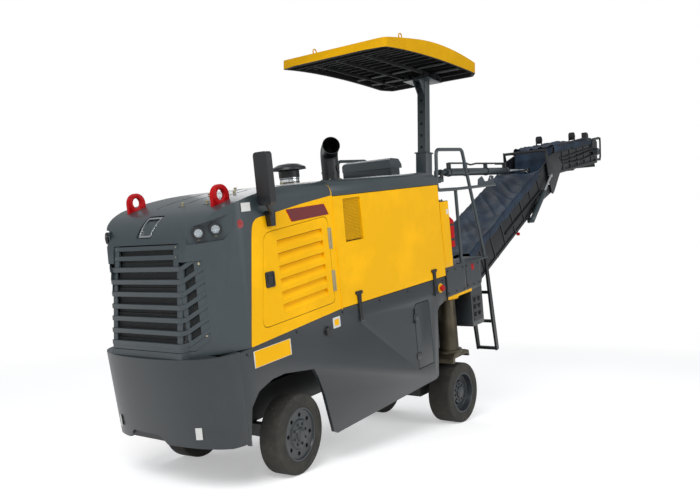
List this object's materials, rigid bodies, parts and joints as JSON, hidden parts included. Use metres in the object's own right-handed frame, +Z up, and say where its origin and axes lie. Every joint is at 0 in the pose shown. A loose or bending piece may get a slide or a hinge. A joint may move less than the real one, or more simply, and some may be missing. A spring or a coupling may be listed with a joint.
{
  "type": "cold planer milling machine",
  "caption": "Small road-milling machine on four solid-tyred wheels, nose down on raised rear legs, with a post canopy and a long folding rear discharge conveyor.",
  "frame": {"origin": "middle of the footprint box, on the ground", "axes": "+Z up, the machine drives towards -Y, +X is its left side; the conveyor reaches out towards +Y"},
  "size_m": [1.473, 8.857, 3.8753],
  "materials": {
    "yellow": "semi-gloss paint, weathered",
    "canopy_yellow": "semi-gloss paint",
    "grey": "satin paint",
    "dark_grey": "satin paint, dusty",
    "black": "matt black paint",
    "red": "gloss paint",
    "bare_steel": "worn bronze-brown steel",
    "drum_steel": "worn steel",
    "rod_chrome": "polished",
    "tyre": "dusty solid rubber",
    "seat_leather": "black vinyl",
    "sheet": "blue-grey tarpaulin"
  },
  "bodies": {
    "chassis": {"front_apron": "dark_grey", "left_side_plate": "dark_grey", "right_side_plate": "dark_grey", "main_frame": "black", "bonnet": "grey", "grille": "grey", "middle_body": "grey", "engine": "black", "left_lifting_eye": "red", "right_lifting_eye": "red", "air_intake": "black", "exhaust_pipe": "black", "left_mirror": "black", "dash": "dark_grey", "operator_platform": "dark_grey", "rear_tool_box": "dark_grey", "rear_cabinet": "yellow", "fire_extinguisher": "red", "operator_seat": "seat_leather", "left_handrail": "grey", "right_handrail": "grey", "ladder": "black", "canopy_column": "grey", "drum_housing": "black", "front_axle": "black", "slew_bracket": "black"},
    "access_door": {"access_door": "dark_grey"},
    "left_bonnet_door": {"left_bonnet_door": "yellow"},
    "right_bonnet_door": {"right_bonnet_door": "yellow"},
    "left_side_cover": {"left_side_cover": "yellow"},
    "right_side_cover": {"right_side_cover": "yellow"},
    "dash_lid": {"dash_lid": "grey"},
    "canopy": {"canopy_post": "grey", "canopy_roof": "canopy_yellow"},
    "left_leg": {"left_leg": "bare_steel"},
    "right_leg": {"right_leg": "bare_steel"},
    "milling_drum": {"milling_drum": "drum_steel"},
    "left_knuckle": {"left_knuckle": "black"},
    "right_knuckle": {"right_knuckle": "black"},
    "left_front_wheel": {"left_front_rim": "dark_grey", "left_front_tyre": "tyre"},
    "right_front_wheel": {"right_front_rim": "dark_grey", "right_front_tyre": "tyre"},
    "left_rear_wheel": {"left_rear_rim": "dark_grey", "left_rear_tyre": "tyre"},
    "right_rear_wheel": {"right_rear_rim": "dark_grey", "right_rear_tyre": "tyre"},
    "slew_yoke": {"slew_yoke": "black", "cylinder_swivel": "black"},
    "lower_conveyor": {"conveyor_lower": "black", "lower_tarpaulin": "sheet"},
    "upper_conveyor": {"conveyor_upper": "black", "upper_tarpaulin": "sheet"},
    "lift_cylinder": {"lift_cylinder": "grey"},
    "lift_rod": {"lift_rod": "rod_chrome"},
    "fold_cylinder": {"fold_cylinder": "grey"},
    "fold_rod": {"fold_rod": "rod_chrome"}
  },
  "joints": [
    {"name": "left_bonnet_door_hinge", "type": "hinge", "parent": "chassis", "child": "left_bonnet_door", "pos_m": [0.5885, -3.06087, 1.66936], "axis": [0, -0.1511, 0.9885], "range_deg": [0, 110]},
    {"name": "right_bonnet_door_hinge", "type": "hinge", "parent": "chassis", "child": "right_bonnet_door", "pos_m": [-0.7175, -3.06087, 1.66936], "axis": [0, 0.1511, -0.9885], "range_deg": [0, 110]},
    {"name": "access_door_hinge", "type": "hinge", "parent": "chassis", "child": "access_door", "pos_m": [0.5885, -1.8049, 0.95088], "axis": [0, 0.1511, -0.9885], "range_deg": [0, 110]},
    {"name": "left_side_cover_hinge", "type": "hinge", "parent": "chassis", "child": "left_side_cover", "pos_m": [0.5855, -2.21292, 2.29668], "axis": [0, -0.9885, -0.1511], "range_deg": [0, 100]},
    {"name": "right_side_cover_hinge", "type": "hinge", "parent": "chassis", "child": "right_side_cover", "pos_m": [-0.7145, -2.21292, 2.29668], "axis": [0, 0.9885, 0.1511], "range_deg": [0, 100]},
    {"name": "dash_lid_hinge", "type": "hinge", "parent": "chassis", "child": "dash_lid", "pos_m": [-0.0645, -1.60907, 2.6083], "axis": [1, 0, 0], "range_deg": [0, 100]},
    {"name": "canopy_lift", "type": "slide", "parent": "chassis", "child": "canopy", "axis": [0, 0, 1], "range_m": [-0.55, 0]},
    {"name": "left_leg_lift", "type": "slide", "parent": "chassis", "child": "left_leg", "axis": [0, -0.1511, 0.9885], "range_m": [0, 0.3]},
    {"name": "right_leg_lift", "type": "slide", "parent": "chassis", "child": "right_leg", "axis": [0, -0.1511, 0.9885], "range_m": [0, 0.3]},
    {"name": "milling_drum_spin", "type": "hinge", "parent": "chassis", "child": "milling_drum", "pos_m": [-0.0645, -0.85876, 0.60486], "axis": [1, 0, 0], "continuous": true},
    {"name": "left_steer", "type": "hinge", "parent": "chassis", "child": "left_knuckle", "pos_m": [0.3205, -3.42646, 0.30851], "axis": [0, 0, 1], "range_deg": [-37, 23]},
    {"name": "right_steer", "type": "hinge", "parent": "chassis", "child": "right_knuckle", "pos_m": [-0.4495, -3.42646, 0.30851], "axis": [0, 0, 1], "range_deg": [-37, 23]},
    {"name": "left_front_wheel_spin", "type": "hinge", "parent": "left_knuckle", "child": "left_front_wheel", "pos_m": [0.46434, -3.40816, 0.30851], "axis": [0.992, 0.1262, 0], "continuous": true},
    {"name": "right_front_wheel_spin", "type": "hinge", "parent": "right_knuckle", "child": "right_front_wheel", "pos_m": [-0.59334, -3.44476, 0.30851], "axis": [0.992, 0.1262, 0], "continuous": true},
    {"name": "left_rear_wheel_spin", "type": "hinge", "parent": "left_leg", "child": "left_rear_wheel", "pos_m": [0.4215, -0.81446, 0.30851], "axis": [1, 0, 0], "continuous": true},
    {"name": "right_rear_wheel_spin", "type": "hinge", "parent": "right_leg", "child": "right_rear_wheel", "pos_m": [-0.5505, -0.81446, 0.30851], "axis": [1, 0, 0], "continuous": true},
    {"name": "conveyor_slew", "type": "hinge", "parent": "chassis", "child": "slew_yoke", "pos_m": [-0.0045, -0.35046, 1.04351], "axis": [0, 0, 1], "range_deg": [-20, 20]},
    {"name": "conveyor_lift", "type": "hinge", "parent": "slew_yoke", "child": "lower_conveyor", "pos_m": [-0.0645, -0.24646, 1.32851], "axis": [1, 0, 0], "range_deg": [-15, 5]},
    {"name": "conveyor_fold", "type": "hinge", "parent": "lower_conveyor", "child": "upper_conveyor", "pos_m": [-0.0645, 2.36554, 2.73451], "axis": [1, 0, 0], "range_deg": [-80, 0]},
    {"name": "lift_cylinder_swing", "type": "hinge", "parent": "slew_yoke", "child": "lift_cylinder", "pos_m": [-0.0045, -0.35046, 2.70651], "axis": [1, 0, 0], "range_deg": [-15.14, 5.38]},
    {"name": "lift_rod_slide", "type": "slide", "parent": "lift_cylinder", "child": "lift_rod", "axis": [0, 0.9927, 0.1207], "range_m": [-0.13, 0.371]},
    {"name": "fold_cylinder_swing", "type": "hinge", "parent": "lower_conveyor", "child": "fold_cylinder", "pos_m": [0.2755, 1.59054, 2.24851], "axis": [1, 0, 0], "range_deg": [-11.07, 0.5]},
    {"name": "fold_rod_slide", "type": "slide", "parent": "fold_cylinder", "child": "fold_rod", "axis": [0, 0.6991, 0.715], "range_m": [-0.01, 0.233]}
  ],
  "couplings": [
    {"joint": "right_steer", "follows": "left_steer", "ratio": 1},
    {"joint": "lift_cylinder_swing", "follows": "conveyor_lift", "ratio": 0.9759},
    {"joint": "lift_rod_slide", "follows": "conveyor_lift", "m_per_rad": -1.3773},
    {"joint": "fold_cylinder_swing", "follows": "conveyor_fold", "ratio": 0.1321},
    {"joint": "fold_rod_slide", "follows": "conveyor_fold", "m_per_rad": -0.1595}
  ]
}
